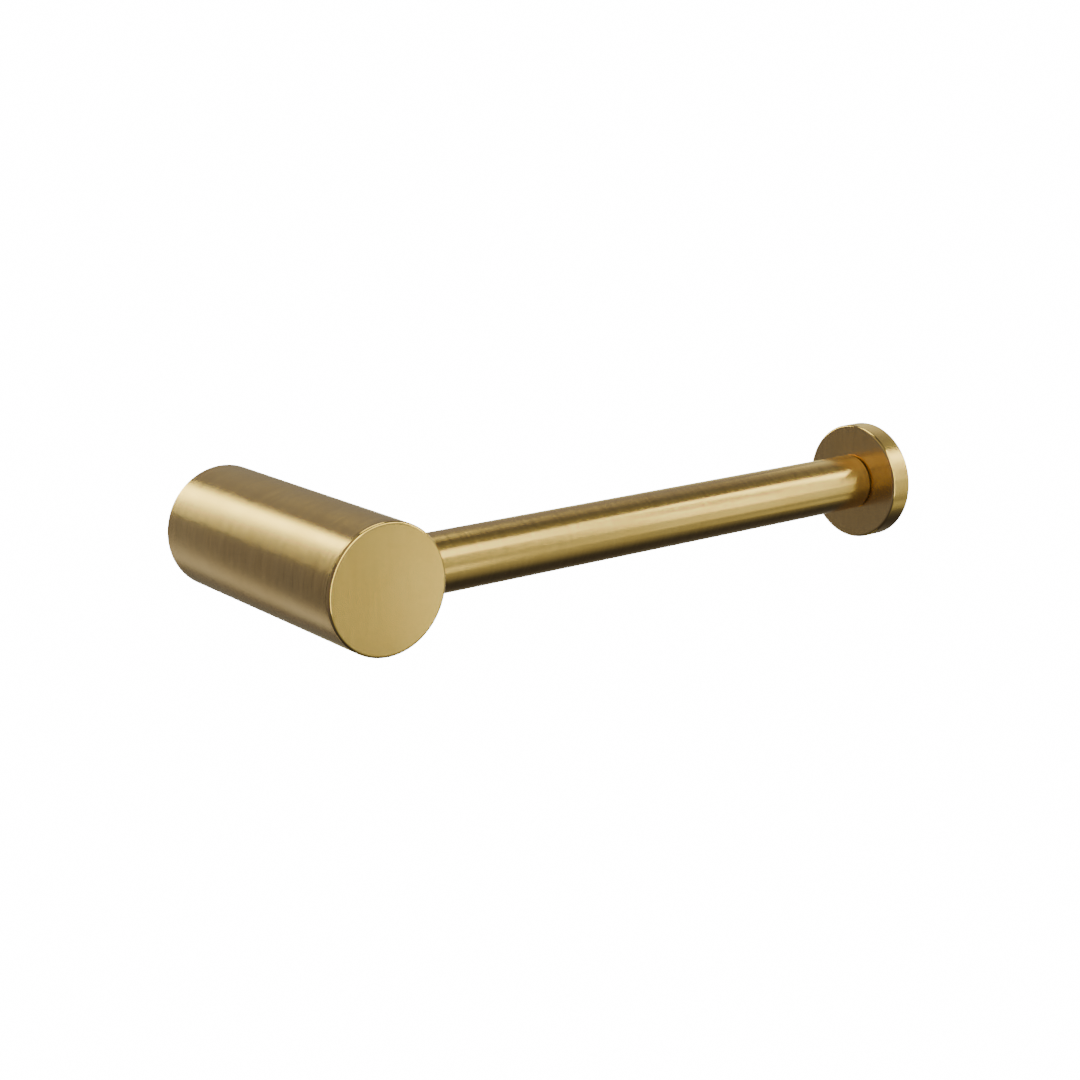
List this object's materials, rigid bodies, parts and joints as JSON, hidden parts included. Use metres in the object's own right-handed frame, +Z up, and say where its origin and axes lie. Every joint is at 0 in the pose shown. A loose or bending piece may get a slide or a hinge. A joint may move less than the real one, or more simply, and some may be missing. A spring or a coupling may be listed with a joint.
{
  "type": "toilet paper holder",
  "caption": "Wall-mounted toilet paper holder in satin brushed brass: a round barrel post on a hidden bracket, a straight roll bar and a round end disc.",
  "frame": {"origin": "centre of the wall bracket's back face, on the wall's surface and on the barrel's axis", "axes": "+Z up, +Y into the wall along the barrel's axis, +X along the roll bar from the barrel to its free end"},
  "size_m": [0.1885, 0.0795, 0.032],
  "materials": {
    "satin_brass": "satin, brushed round the cylinders and straight across the flat faces",
    "turned_brass": "as turned",
    "bracket_steel": "turned and zinc plated",
    "screw_steel": "stainless, as machined",
    "washer_nylon": "matte"
  },
  "bodies": {
    "bracket": {"wall_bracket": "bracket_steel"},
    "holder": {"barrel_tube": "satin_brass", "barrel_cap": "satin_brass", "anchor_block": "turned_brass", "roll_bar": "satin_brass", "root_plug": "turned_brass", "tip_plug": "turned_brass", "end_disc": "satin_brass", "disc_washer": "washer_nylon", "disc_stud": "screw_steel", "clamp_screw": "screw_steel"},
    "grub": {"grub_screw": "screw_steel"}
  },
  "joints": [
    {"name": "holder_slide", "type": "slide", "parent": "bracket", "child": "holder", "axis": [0, -1, 0], "range_m": [0, 0.03]},
    {"name": "grub_screw_travel", "type": "slide", "parent": "holder", "child": "grub", "axis": [0, 0, -1], "range_m": [0, 0.0021]}
  ]
}
